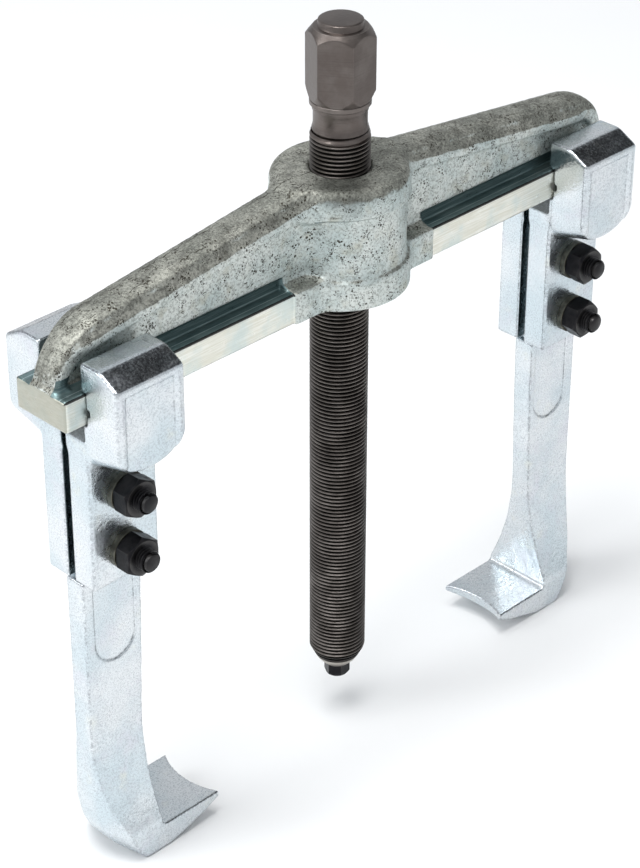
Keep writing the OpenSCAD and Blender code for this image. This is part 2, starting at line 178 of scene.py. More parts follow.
def smooth_join(a, b, blend):
    """Union of two fields with a fillet of about the blend size."""
    h = np.clip(blend - np.abs(a - b), 0, None) / blend
    return np.minimum(a, b) - h * h * blend / 4


def smooth_both(a, b, blend):
    """Intersection of two fields with a rounded edge."""
    return -smooth_join(-a, -b, blend)


def cut(a, b):
    """Field a with field b taken away."""
    return np.maximum(a, -b)


def smooth_cut(a, b, blend):
    return smooth_both(a, -b, blend)


def corner(a, b, radius):
    """Intersection of two half spaces whose common edge has a true radius."""
    outside = length2(np.clip(a + radius, 0, None), np.clip(b + radius, 0, None)) - radius
    return np.where((a > -radius) & (b > -radius), outside, np.maximum(a, b))


def box_field(x, y, z, low, high, radius=0.0):
    """Box between two corners, with rounded edges."""
    qx = np.abs(x - (low[0] + high[0]) / 2) - (high[0] - low[0]) / 2 + radius
    qy = np.abs(y - (low[1] + high[1]) / 2) - (high[1] - low[1]) / 2 + radius
    qz = np.abs(z - (low[2] + high[2]) / 2) - (high[2] - low[2]) / 2 + radius
    out = np.sqrt(np.clip(qx, 0, None) ** 2 + np.clip(qy, 0, None) ** 2 + np.clip(qz, 0, None) ** 2)
    return out + np.minimum(np.maximum(np.maximum(qx, qy), qz), 0) - radius


def disc_field(across, along, radius, low, high, edge):
    """Cylinder of a radius between two heights, with rounded rims."""
    middle, half = (low + high) / 2, (high - low) / 2
    return corner(across - radius, np.abs(along - middle) - half, edge)


def ramp(value, start, end):
    """Smooth step from 0 at start to 1 at end."""
    t = np.clip((value - start) / (end - start), 0, 1)
    return t * t * (3 - 2 * t)


def surface_net(field, low, high, step):
    """Meshes the zero level of field(x, y, z) inside a box: vertices and quads."""
    low, high = np.array(low, float) - 2 * step, np.array(high, float) + 2 * step
    counts = np.ceil((high - low) / step).astype(int) + 1
    axes = [low[k] + step * np.arange(counts[k]) for k in range(3)]
    grid = np.meshgrid(*axes, indexing="ij", sparse=True)
    values = np.broadcast_to(field(*grid), counts).astype(np.float32)
    total = np.zeros(tuple(counts - 1) + (3,), np.float32)
    crossings = np.zeros(tuple(counts - 1), np.float32)
    for axis in range(3):
        others = [k for k in range(3) if k != axis]
        a = np.take(values, range(counts[axis] - 1), axis)
        b = np.take(values, range(1, counts[axis]), axis)
        crossed = (a < 0) != (b < 0)
        share = np.where(crossed, a / np.where(crossed, a - b, 1), 0)
        for i in (0, 1):
            for j in (0, 1):
                pick = [slice(None)] * 3
                pick[others[0]] = slice(i, counts[others[0]] - 1 + i)
                pick[others[1]] = slice(j, counts[others[1]] - 1 + j)
                hit = crossed[tuple(pick)]
                crossings += hit
                total[..., axis] += np.where(hit, share[tuple(pick)], 0)
                total[..., others[0]] += hit * i
                total[..., others[1]] += hit * j
    active = crossings > 0
    index = np.full(active.shape, -1, np.int64)
    index[active] = np.arange(active.sum())
    cells = np.argwhere(active)
    points = low + step * (cells + total[active] / crossings[active][:, None])
    quads = []
    for axis in range(3):
        others = [k for k in range(3) if k != axis]
        a = np.take(values, range(counts[axis] - 1), axis)
        b = np.take(values, range(1, counts[axis]), axis)
        inner = [slice(None)] * 3
        for k in others:
            inner[k] = slice(1, counts[k] - 1)
        inner = tuple(inner)
        crossed = ((a < 0) != (b < 0))[inner]
        where = np.argwhere(crossed)
        for k in others:
            where[:, k] += 1
        ring = []
        for i, j in ((0, 0), (1, 0), (1, 1), (0, 1)):
            cell = where.copy()
            cell[:, others[0]] -= i
            cell[:, others[1]] -= j
            ring.append(index[cell[:, 0], cell[:, 1], cell[:, 2]])
        ring = np.stack(ring, 1)
        inward = (a < 0)[inner][crossed]
        flip = inward if axis != 1 else ~inward
        ring[~flip] = ring[~flip][:, ::-1]
        quads.append(ring)
    return points, np.concatenate(quads)


# ---------------------------------------------------------------- meshes

def plain(faces):
    """Faces as lists, whether they come as an array or not."""
    return faces.tolist() if isinstance(faces, np.ndarray) else faces


def make_piece(name, points, faces, material, smooth=True):
    """A mesh object from points in millimetres."""
    mesh = bpy.data.meshes.new(name)
    mesh.from_pydata((np.asarray(points, float) * MM).tolist(), [], plain(faces))
    mesh.polygons.foreach_set("use_smooth", [smooth] * len(mesh.polygons))
    mesh.update()
    piece = bpy.data.objects.new(name, mesh)
    bpy.context.scene.collection.objects.link(piece)
    mesh.materials.append(material)
    return piece


def sharpen(piece, degrees):
    """Keeps edges sharper than an angle crisp in the shading."""
    piece.data.set_sharp_from_angle(angle=math.radians(degrees))


def polar_shell(profile, radius_at, steps, turn=0.0):
    """Closed shell of rings: a list of heights, and radius_at(angles, height) for their radii."""
    angles = np.linspace(0, 2 * math.pi, steps, endpoint=False) + turn
    points, faces = [], []
    for height in profile:
        radius = radius_at(angles, height)
        points += list(zip(radius * np.cos(angles), radius * np.sin(angles), [height] * steps))
    for ring in range(len(profile) - 1):
        for k in range(steps):
            n = (k + 1) % steps
            a = ring * steps
            faces.append((a + k, a + n, a + steps + n, a + steps + k))
    faces.append(tuple(reversed(range(steps))))
    faces.append(tuple(range((len(profile) - 1) * steps, len(profile) * steps)))
    return points, faces


def lathe(outline, steps=96):
    """Closed shell turned from a list of (radius, height) points, from bottom to top."""
    heights = [h for _, h in outline]
    radii = iter([r for r, _ in outline])
    return polar_shell(heights, lambda angles, height: np.full(len(angles), next(radii)), steps)


def helix(bottom, top, pitch, depth, crest_at, steps=64):
    """Right-hand thread as a closed shell. crest_at(height) gives the crest radius."""
    shape = ((0.0, 0.0), (0.14, 0.0), (0.46, 1.0), (0.64, 1.0), (0.96, 0.0))
    turns = (top - bottom) / pitch - 1
    count = int(turns * steps)
    u = np.arange(count + steps + 1)
    angle = 2 * math.pi * u / steps
    fade = np.clip(np.minimum(u, count + steps - u) / steps, 0, 1)
    points, rows = [], len(shape)
    for along, dip in shape:
        height = bottom + pitch * (u / steps + along - 1)
        height = np.clip(height, bottom, top)
        radius = crest_at(height) - depth * dip * fade
        points.append(np.stack([radius * np.cos(angle), radius * np.sin(angle), height], 1))
    total = count + steps + 1
    points = np.concatenate(points)
    i = np.arange(total - 1)
    faces = []
    for row in range(rows - 1):
        a, b = row * total, (row + 1) * total
        faces.append(np.stack([a + i, a + i + 1, b + i + 1, b + i], 1))
    i = np.arange(total - 1 - steps)
    a = (rows - 1) * total
    faces.append(np.stack([a + i, a + i + 1, i + 1 + steps, i + steps], 1))
    return points, np.concatenate(faces)


def joined(parts):
    """One list of points and faces from several."""
    points, faces, base = [], [], 0
    for part_points, part_faces in parts:
        part_points = [tuple(map(float, p)) for p in part_points]
        points += part_points
        faces += [tuple(int(i) + base for i in face) for face in part_faces]
        base += len(part_points)
    return points, faces


def moved(part, matrix):
    """Points of a part through a 4 by 4 matrix, with its faces turned over if it mirrors."""
    points, faces = part
    turn = np.array(matrix.to_3x3())
    points = np.asarray(points, float) @ turn.T + np.array(matrix.translation)
    if matrix.determinant() < 0:
        faces = [tuple(reversed(face)) for face in plain(faces)]
    return points, faces


# ---------------------------------------------------------------- materials

class Nodes:
    """Short way to build a node material."""

    def __init__(self, name):
        self.material = bpy.data.materials.new(name)
        self.material.use_nodes = True
        self.tree = self.material.node_tree
        self.tree.nodes.clear()
        self.output = self.tree.nodes.new("ShaderNodeOutputMaterial")
        self.shader = self.tree.nodes.new("ShaderNodeBsdfPrincipled")
        self.link(self.shader.outputs[0], self.output.inputs[0])
        self.coords = self.tree.nodes.new("ShaderNodeTexCoord").outputs["Object"]
        self.geometry = self.tree.nodes.new("ShaderNodeNewGeometry")

    def link(self, source, target):
        self.tree.links.new(source, target)

    def put(self, value, socket):
        """Links a socket, or sets a plain value."""
        if isinstance(value, bpy.types.NodeSocket):
            self.link(value, socket)
        else:
            socket.default_value = value

    def noise(self, scale, detail=4.0, rough=0.55, coords=None):
        node = self.tree.nodes.new("ShaderNodeTexNoise")
        node.inputs["Scale"].default_value = scale
        node.inputs["Detail"].default_value = detail
        node.inputs["Roughness"].default_value = rough
        self.link(coords or self.coords, node.inputs["Vector"])
        return node.outputs["Fac"]

    def cells(self, scale, coords=None):
        """Distance to the nearest of a set of scattered points."""
        node = self.tree.nodes.new("ShaderNodeTexVoronoi")
        node.inputs["Scale"].default_value = scale
        self.link(coords or self.coords, node.inputs["Vector"])
        return node.outputs["Distance"]

    def bent(self, amount, scale):
        """Coordinates pushed about by a noise, so that round marks turn irregular."""
        noise = self.tree.nodes.new("ShaderNodeTexNoise")
        noise.inputs["Scale"].default_value = scale
        self.link(self.coords, noise.inputs["Vector"])
        push = self.tree.nodes.new("ShaderNodeVectorMath")
        push.operation = "MULTIPLY_ADD"
        self.link(noise.outputs["Color"], push.inputs[0])
        push.inputs[1].default_value = (amount, amount, amount)
        self.link(self.coords, push.inputs[2])
        return push.outputs[0]

    def stretched(self, factors):
        node = self.tree.nodes.new("ShaderNodeMapping")
        node.inputs["Scale"].default_value = factors
        self.link(self.coords, node.inputs["Vector"])
        return node.outputs[0]

    def math(self, kind, a, b=0.0):
        node = self.tree.nodes.new("ShaderNodeMath")
        node.operation = kind
        self.put(a, node.inputs[0])
        self.put(b, node.inputs[1])
        return node.outputs[0]

    def range(self, value, low, high, to_low=0.0, to_high=1.0):
        """Smooth step from to_low to to_high."""
        node = self.tree.nodes.new("ShaderNodeMapRange")
        node.interpolation_type = "SMOOTHSTEP"
        self.put(value, node.inputs["Value"])
        node.inputs["From Min"].default_value = low
        node.inputs["From Max"].default_value = high
        node.inputs["To Min"].default_value = to_low
        node.inputs["To Max"].default_value = to_high
        return node.outputs[0]

    def mix(self, factor, a, b):
        node = self.tree.nodes.new("ShaderNodeMix")
        node.data_type = "RGBA"
        self.put(factor, node.inputs["Factor"])
        for value, socket in ((a, node.inputs[6]), (b, node.inputs[7])):
            self.put(value if isinstance(value, bpy.types.NodeSocket) else (*value, 1.0), socket)
        return node.outputs[2]

    def axis(self, name, source=None):
        node = self.tree.nodes.new("ShaderNodeSeparateXYZ")
        self.link(source or self.coords, node.inputs[0])
        return node.outputs[name]

    def bump(self, height, distance, strength):
        node = self.tree.nodes.new("ShaderNodeBump")
        node.inputs["Strength"].default_value = strength
        node.inputs["Distance"].default_value = distance
        self.link(height, node.inputs["Height"])
        return node.outputs[0]

    def edges(self, low, high):
        """1 on convex edges, 0 on flats."""
        return self.range(self.geometry.outputs["Pointiness"], low, high)

    def finish(self, color, roughness, normal=None, metallic=1.0):
        """Sets the shader and gives the material."""
        self.put(color if isinstance(color, bpy.types.NodeSocket) else (*color, 1.0),
                 self.shader.inputs["Base Color"])
        self.put(roughness, self.shader.inputs["Roughness"])
        self.put(metallic, self.shader.inputs["Metallic"])
        if normal is not None:
            self.link(normal, self.shader.inputs["Normal"])
        return self.material


def forged_material():
    """Zinc-plated forging: brown-grey scale on top, pale zinc on the sides, machined rail."""
    m = Nodes("forged_zinc")
    normal_z = m.axis("Z", m.geometry.outputs["Normal"])
    x = m.math("ABSOLUTE", m.axis("X"))
    y = m.math("ABSOLUTE", m.axis("Y"))
    z = m.axis("Z")
    blotch = m.noise(38, 5, 0.6)
    fine = m.noise(420, 4, 0.6)
    patches = m.noise(110, 5, 0.65)
    grain = m.noise(900, 5, 0.75)
    pale = m.mix(m.range(blotch, 0.35, 0.68), (0.52, 0.59, 0.58), (0.71, 0.74, 0.71))
    pale = m.mix(m.range(patches, 0.5, 0.72, 0.0, 0.6), pale, (0.46, 0.45, 0.37))
    pale = m.mix(m.range(grain, 0.48, 0.60, 0.0, 0.6), pale, (0.20, 0.22, 0.20))
    scale = m.mix(m.range(blotch, 0.3, 0.7), (0.22, 0.222, 0.192), (0.38, 0.38, 0.335))
    scale = m.mix(m.range(patches, 0.45, 0.64, 0.0, 0.75), scale, (0.13, 0.13, 0.112))
    scale = m.mix(m.range(grain, 0.48, 0.60, 0.0, 0.65), scale, (0.07, 0.068, 0.06))
    scale = m.mix(m.range(grain, 0.46, 0.34, 0.0, 0.6), scale, (0.50, 0.50, 0.44))
    wander = m.math("ADD", normal_z, m.range(patches, 0.2, 0.8, -0.22, 0.22))
    top = m.range(wander, 0.24, 0.44, 0.0, 0.92)
    above_flange = m.range(z, (REACH + 24) * MM, (REACH + 30) * MM)
    past_hub = m.math("GREATER_THAN", x, 2 * ROUGH_HALF * MM)
    top = m.math("MULTIPLY", top, m.math("MAXIMUM", above_flange, past_hub))
    top = m.math("MAXIMUM", top, m.range(wander, 0.50, 0.72, 0.0, 0.8))
    color = m.mix(top, pale, scale)
    # rust pits and short cracks
    bent = m.bent(0.0016, 260)
    pit_size = m.range(m.noise(150, 3, 0.5), 0.42, 0.68, 0.0, 0.36)
    pits = m.math("LESS_THAN", m.cells(640, bent), pit_size)
    small_size = m.range(m.noise(230, 3), 0.40, 0.68, 0.0, 0.43)
    more_pits = m.math("LESS_THAN", m.cells(1250, bent), small_size)
    pits = m.math("MAXIMUM", pits, more_pits)
    crack_path = m.range(m.noise(190, 4), 0.2, 0.8, 0.0030, 0.0056)
    crack_line = m.math("ABSOLUTE", m.math("SUBTRACT", y, crack_path))
    cracks = m.math("MULTIPLY", m.math("LESS_THAN", crack_line, 0.00022),
                    m.math("GREATER_THAN", m.noise(85, 2), 0.52))
    cracks = m.math("MULTIPLY", cracks, m.math("GREATER_THAN", normal_z, 0.8))
    pits = m.math("MAXIMUM", pits, cracks)
    color = m.mix(m.math("MULTIPLY", pits, 0.93), color, (0.05, 0.045, 0.035))
    # oil stain in front of the bore
    away = m.tree.nodes.new("ShaderNodeVectorMath")
    away.operation = "DISTANCE"
    m.link(m.coords, away.inputs[0])
    away.inputs[1].default_value = (-14.5 * MM, -16.5 * MM, (REACH + HUB_HEIGHT) * MM)
    stain = m.math("ADD", away.outputs["Value"], m.range(patches, 0.2, 0.8, -0.004, 0.004))
    color = m.mix(m.range(stain, 0.016, 0.007, 0.0, 0.62), color, (0.06, 0.062, 0.055))
    # painted highlight: pale colour on the convex edges of the forging
    color = m.mix(m.math("MULTIPLY", m.edges(0.535, 0.60), 0.5), color, (0.74, 0.73, 0.64))
    # painted shade: dark teal band under the parting ridge of the hub
    ragged = m.math("ADD", z, m.range(fine, 0.3, 0.7, -0.15 * MM, 0.15 * MM))
    below_ridge = m.math("SUBTRACT", ragged, (REACH + RIDGE_BOTTOM - 0.6) * MM)
    ridge_shade = m.math("LESS_THAN", m.math("ABSOLUTE", below_ridge), 0.4 * MM)
    ridge_shade = m.math("MULTIPLY", ridge_shade, m.math("LESS_THAN", x, 30 * MM))
    color = m.mix(m.math("MULTIPLY", ridge_shade, 0.65), color, (0.12, 0.16, 0.165))
    # machined rail: sides, ledge and shelf
    past_step = m.math("GREATER_THAN", x, (ROUGH_HALF + 0.2) * MM)
    low = m.math("LESS_THAN", z, (REACH + 20.6) * MM)
    side = m.math("MULTIPLY", m.math("GREATER_THAN", y, (RAIL_HALF - 0.5) * MM), past_step)
    side = m.math("MULTIPLY", side, m.math("LESS_THAN", z, (REACH + RAIL_HEIGHT - 0.3) * MM))
    above = m.math("GREATER_THAN", z, (REACH + RAIL_HEIGHT - 0.4) * MM)
    ledge = m.math("MULTIPLY", m.math("MULTIPLY", past_step, low), above)
    ledge = m.math("MULTIPLY", ledge, m.math("GREATER_THAN", y, 6.6 * MM))
    end_face = m.math("MULTIPLY", m.math("GREATER_THAN", x, (HALF_BEAM - 0.7) * MM),
                      m.math("LESS_THAN", z, (REACH + RAIL_HEIGHT + 0.1) * MM))
    underside = m.math("LESS_THAN", z, (REACH + 0.4) * MM)
    streaks = m.noise(1.0, 3, 0.5, coords=m.stretched((60, 300, 2200)))
    cream = m.mix(m.range(streaks, 0.35, 0.7), (0.70, 0.69, 0.60), (0.84, 0.84, 0.78))
    cream = m.mix(m.range(m.noise(45, 4), 0.46, 0.66, 0, 0.7), cream, (0.56, 0.66, 0.65))
    # painted shade and dark reflection: dark teal on the milled ledge under the web
    ledge_shade = m.mix(m.range(streaks, 0.3, 0.7), (0.085, 0.135, 0.14), (0.17, 0.23, 0.23))
    color = m.mix(side, color, cream)
    color = m.mix(end_face, color, m.mix(0.72, cream, (0.30, 0.30, 0.245)))
    color = m.mix(ledge, color, ledge_shade)
    # thin bright line along the ledge and dark line under the rail's upper edge
    line = m.math("LESS_THAN", m.math("ABSOLUTE", m.math("SUBTRACT", y, 11.8 * MM)), 0.22 * MM)
    line = m.math("MULTIPLY", m.math("MULTIPLY", line, ledge), 0.55)
    color = m.mix(line, color, (0.50, 0.60, 0.60))
    rim = m.math("MULTIPLY", m.math("GREATER_THAN", z, (REACH + RAIL_HEIGHT - 1.0) * MM),
                 m.math("LESS_THAN", z, (REACH + RAIL_HEIGHT + 0.3) * MM))
    rim = m.math("MULTIPLY", rim, m.math("GREATER_THAN", y, (RAIL_HALF - 0.9) * MM))
    rim = m.math("MULTIPLY", rim, past_step)
    color = m.mix(m.math("MULTIPLY", rim, 0.92), color, (0.02, 0.02, 0.02))
    color = m.mix(underside, color, (0.62, 0.64, 0.60))
    machined = m.math("MAXIMUM", m.math("MAXIMUM", side, ledge),
                      m.math("MAXIMUM", underside, end_face))
    forged_rough = m.range(fine, 0.3, 0.7, 0.47, 0.64)
    rough = m.math("ADD", m.math("MULTIPLY", machined, -0.20), forged_rough)
    rough = m.math("ADD", rough, m.math("MULTIPLY", top, 0.06))
    relief = m.math("ADD", m.math("MULTIPLY", fine, 0.25), m.math("MULTIPLY", patches, 0.75))
    relief = m.math("SUBTRACT", relief, m.math("MULTIPLY", pits, 0.5))
    calm = m.math("SUBTRACT", 1.0, m.math("MULTIPLY", machined, 0.93))
    relief = m.math("MULTIPLY", relief, calm)
    relief = m.math("ADD", relief, m.math("MULTIPLY", m.math("MULTIPLY", grain, calm), 0.25))
    return m.finish(color, rough, m.bump(relief, 0.0006, 0.9), metallic=0.9)


def zinc_material():
    """Bright zinc plate with a pale blue and violet tint."""
    m = Nodes("zinc_plate")
    blotch = m.noise(26, 4, 0.55)
    tint = m.noise(60, 5, 0.6)
    fine = m.noise(700, 3, 0.6)
    color = m.mix(m.range(blotch, 0.34, 0.66), (0.58, 0.66, 0.70), (0.73, 0.76, 0.78))
    color = m.mix(m.range(tint, 0.52, 0.75, 0.0, 0.5), color, (0.68, 0.67, 0.74))
    color = m.mix(m.range(m.noise(85, 4), 0.58, 0.78, 0.0, 0.45), color, (0.74, 0.74, 0.64))
    # shadowed faces inside the slit between two jaws
    y = m.math("ABSOLUTE", m.axis("Y"))
    facing = m.math("ABSOLUTE", m.axis("Y", m.geometry.outputs["Normal"]))
    slit = m.math("MULTIPLY", m.math("LESS_THAN", y, 2.3 * MM), m.math("GREATER_THAN", facing, 0.8))
    color = m.mix(m.math("MULTIPLY", slit, 0.9), color, (0.035, 0.07, 0.075))
    # painted dark reflection on the bevels on top and painted shade on the facets under the rail
    z = m.axis("Z")
    normal_z = m.axis("Z", m.geometry.outputs["Normal"])
    bevel = m.math("MULTIPLY", m.range(normal_z, 0.50, 0.72), m.range(normal_z, 0.985, 0.95))
    bevel = m.math("MULTIPLY", bevel, m.math("GREATER_THAN", z, (REACH + RAIL_HEIGHT) * MM))
    bevel = m.math("MULTIPLY", bevel, m.range(m.noise(900, 4, 0.7), 0.60, 0.42, 0.25, 1.0))
    color = m.mix(m.math("MULTIPLY", bevel, 0.82), color, (0.10, 0.10, 0.115))
    # painted shade on the upward facets that lie under the rail
    facet = m.math("MULTIPLY", m.range(normal_z, 0.45, 0.60), m.range(normal_z, 0.90, 0.80))
    facet = m.math("MULTIPLY", facet, m.math("LESS_THAN", z, (REACH + 1.0) * MM))
    facet = m.math("MULTIPLY", facet, m.math("GREATER_THAN", z, (REACH - 10.0) * MM))
    color = m.mix(m.math("MULTIPLY", facet, 0.85), color, (0.09, 0.09, 0.10))
    # specks, painted highlights on the convex edges, grain, ragged seams and painted shade in the
    # creases
    speck = m.math("LESS_THAN", m.cells(620), m.range(m.noise(140, 3), 0.55, 0.75, 0.0, 0.16))
    color = m.mix(m.math("MULTIPLY", speck, 0.6), color, (0.26, 0.28, 0.30))
    # painted highlight on the convex edges
    color = m.mix(m.math("MULTIPLY", m.edges(0.53, 0.60), 0.5), color, (0.92, 0.93, 0.94))
    grain = m.noise(1300, 4, 0.7)
    color = m.mix(m.range(grain, 0.48, 0.60, 0.0, 0.45), color, (0.30, 0.33, 0.36))
    seam = m.math("MULTIPLY", m.edges(0.50, 0.56), m.range(m.noise(700, 3), 0.42, 0.56))
    color = m.mix(m.math("MULTIPLY", seam, 0.6), color, (0.20, 0.21, 0.23))
    # painted shade: darker colour in the concave creases
    crease_shade = m.range(m.geometry.outputs["Pointiness"], 0.492, 0.465)
    crease_shade = m.math("MULTIPLY", crease_shade, m.range(m.noise(500, 3), 0.36, 0.56, 1.0, 0.3))
    color = m.mix(m.math("MULTIPLY", crease_shade, 0.75), color, (0.10, 0.11, 0.12))
    skin = m.math("LESS_THAN", m.cells(1500, m.bent(0.0010, 400)),
                  m.range(m.noise(50, 3), 0.50, 0.72, 0.0, 0.30))
    color = m.mix(m.math("MULTIPLY", skin, 0.5), color, (0.24, 0.26, 0.29))
    rough = m.range(tint, 0.3, 0.7, 0.20, 0.33)
    relief = m.math("ADD", m.math("MULTIPLY", fine, 0.5), m.noise(180, 4, 0.6))
    return m.finish(color, rough, m.bump(relief, 0.0003, 0.8))


def burnished_material():
    """Dark brown-grey burnished steel, with painted shade that darkens the thread grooves."""
    m = Nodes("burnished_steel")
    x, y = m.axis("X"), m.axis("Y")
    radius = m.math("SQRT", m.math("ADD", m.math("MULTIPLY", x, x), m.math("MULTIPLY", y, y)))
    z = m.axis("Z")
    turned = m.noise(1.0, 4, 0.6, coords=m.stretched((30, 30, 2600)))
    blotch = m.noise(70, 4, 0.6)
    head = m.mix(m.range(blotch, 0.35, 0.7), (0.114, 0.096, 0.088), (0.165, 0.144, 0.133))
    head = m.mix(m.range(turned, 0.5, 0.75, 0.0, 0.4), head, (0.08, 0.066, 0.060))
    thread = m.mix(m.range(m.noise(90, 3), 0.35, 0.7), (0.105, 0.094, 0.086), (0.190, 0.172, 0.160))
    # painted shade: near black down in the thread grooves
    groove = m.range(radius, (THREAD_RADIUS - 1.05) * MM, (THREAD_RADIUS - 0.2) * MM)
    thread = m.mix(groove, (0.012, 0.011, 0.010), thread)
    in_thread = m.math("LESS_THAN", z, (THREAD_TOP - 1.2) * MM)
    above_tip = m.math("GREATER_THAN", z, (SPINDLE_REST + 5.6) * MM)
    in_thread = m.math("MULTIPLY", in_thread, above_tip)
    color = m.mix(in_thread, head, thread)
    color = m.mix(m.math("SUBTRACT", 1.0, above_tip), color, (0.42, 0.39, 0.35))
    # painted highlight on the convex edges
    color = m.mix(m.math("MULTIPLY", m.edges(0.53, 0.6), 0.35), color, (0.42, 0.38, 0.35))
    rough = m.range(blotch, 0.3, 0.7, 0.30, 0.44)
    relief = m.math("ADD", m.math("MULTIPLY", turned, 0.6), m.noise(500, 3))
    return m.finish(color, rough, m.bump(relief, 0.00015, 0.5))


def black_material():
    """Black oxide on nuts, bolts and the pressure pin."""
    m = Nodes("black_oxide")
    blotch = m.noise(160, 4, 0.6)
    color = m.mix(m.range(blotch, 0.35, 0.7), (0.008, 0.008, 0.010), (0.024, 0.023, 0.024))
    # painted highlight on the convex edges
    color = m.mix(m.math("MULTIPLY", m.edges(0.52, 0.60), 0.5), color, (0.15, 0.145, 0.14))
    rough = m.range(m.noise(300, 3), 0.3, 0.7, 0.30, 0.46)
    return m.finish(color, rough, m.bump(m.noise(900, 3), 0.00012, 0.5), metallic=0.85)


def olive_material():
    """Dull olive plate on the washers."""
    m = Nodes("olive_zinc")
    color = m.mix(m.range(m.noise(240, 4), 0.35, 0.7), (0.07, 0.067, 0.055), (0.16, 0.155, 0.125))
    return m.finish(color, m.range(m.noise(500, 3), 0.3, 0.7, 0.35, 0.5),
                    m.bump(m.noise(800, 3), 0.0001, 0.5))


# ---------------------------------------------------------------- crossbeam

def crossbeam_field(x, y, z):
    """Forged beam with hub, cap band, web and machined rail. Mirror-symmetric in Y."""
    end_radius = np.where(x < 0, END_RADIUS["left"], END_RADIUS["right"])
    x, y, z = np.abs(x), np.abs(y), z - REACH
    radius = length2(x, y)
    # outline of an arm seen from the front, and its inner outline under the cap band
    crown = (z - CROWN_HEIGHT + math.tan(CROWN_SLOPE) * x) * math.cos(CROWN_SLOPE)
    end = x - (HALF_BEAM - END_OVERHANG)
    outer = corner(crown, end, end_radius)
    inner = corner(crown + CAP_DEPTH, end + END_RIM, end_radius - 5.0)
    # the cap narrows and its bevel gets smaller where it bends down to the rail
    turned = ramp(end - crown, -20.0, 9.0)
    cap_half = CAP_HALF - 4.0 * turned
    bevel_drop = CROWN_DROP - 4.3 * turned
    bevel_run = cap_half - CROWN_FLAT_HALF
    bevel = (y - CROWN_FLAT_HALF) * bevel_drop + outer * bevel_run
    bevel = bevel / length2(bevel_drop, bevel_run)
    shell = smooth_both(smooth_both(outer, y - cap_half, 1.2), bevel, 0.8)
    band = smooth_cut(shell, inner, 1.6)
    web = np.maximum(outer + 1.5, y - WEB_HALF + 2.9 * turned - 0.02 * (20 - z))
    arm = smooth_join(band, web, 3.4)
    # trimmed parting line along the end of the arm
    seam = np.maximum(np.maximum(outer - 0.35, np.abs(y - 1.2) - 0.5), 14 - z)
    seam = np.maximum(seam, HALF_BEAM - 26 - x)
    arm = smooth_join(arm, seam, 0.9)
    rail = box_field(x, y, z, (-HALF_BEAM, -RAIL_HALF, 0), (HALF_BEAM, RAIL_HALF, RAIL_HEIGHT), 0.5)
    rough = box_field(x, y, z, (-ROUGH_HALF, -RAIL_HALF - ROUGH_EXTRA, 0),
                      (ROUGH_HALF, RAIL_HALF + ROUGH_EXTRA, RAIL_HEIGHT), 1.0)
    body = smooth_join(arm, rough, 5.0)
    body = smooth_join(body, rail, 3.5)
    # hub: waist, flange, crown ring and parting ridge
    waist = disc_field(radius, z, WAIST_RADIUS, 0, HUB_HEIGHT - 1.5, 5.0)
    flange = disc_field(radius, z, FLANGE_RADIUS, 0, RAIL_HEIGHT - 0.5, 1.6)
    ring = disc_field(radius, z, RING_RADIUS, 20, HUB_HEIGHT + 0.2, 7.0)
    ring = smooth_both(ring, RING_BOTTOM - z, 1.0)
    ridge = disc_field(radius, z, RIDGE_RADIUS, RIDGE_BOTTOM, RIDGE_TOP, 0.5)
    hub = smooth_join(smooth_join(waist, flange, 2.4), ring, 1.4)
    hub = smooth_join(hub, ridge, 1.0)
    body = smooth_join(body, hub, 3.5 + 5.5 * ramp(z, 15, 28))
    body = np.maximum(body, np.maximum(-z, x - HALF_BEAM))
    # keep the top of the hub level and dish it round the bore
    dish = DISH_RADIUS - length2(radius, z - HUB_HEIGHT + DISH_DEPTH - DISH_RADIUS)
    body = smooth_both(body, dish, 1.5)
    body = np.maximum(body, z - HUB_HEIGHT)
    # shelf milled into the foot of the web
    shelf = box_field(x, y, z, (ROUGH_HALF + 1, SHELF_FACE, RAIL_HEIGHT),
                      (HALF_BEAM + 20, 40, RAIL_HEIGHT + SHELF_HEIGHT))
    body = cut(body, np.maximum(shelf, x - (HALF_BEAM - 9)))
    # no blend reaches into the space that a jaw sweeps along the rail
    swept = np.maximum(y - RAIL_HALF - 0.02, np.minimum(y - 12.4, z - RAIL_HEIGHT - 0.02))
    body = cut(body, np.maximum(-swept, ROUGH_HALF + 0.15 - x))
    body = cut(body, radius - BORE_RADIUS - 0.02)
    return cut(body, radius - BORE_RADIUS - 0.8 + 0.9 * np.clip(HUB_HEIGHT - DISH_DEPTH - z, -9, 9))


def build_crossbeam(material):
    points, faces = surface_net(crossbeam_field, beam_low, beam_high, BEAM_GRID)
    piece = make_piece("crossbeam_forging", points, faces, material)
    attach(piece, "beam")
    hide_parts("crossbeam")


# ---------------------------------------------------------------- jaws

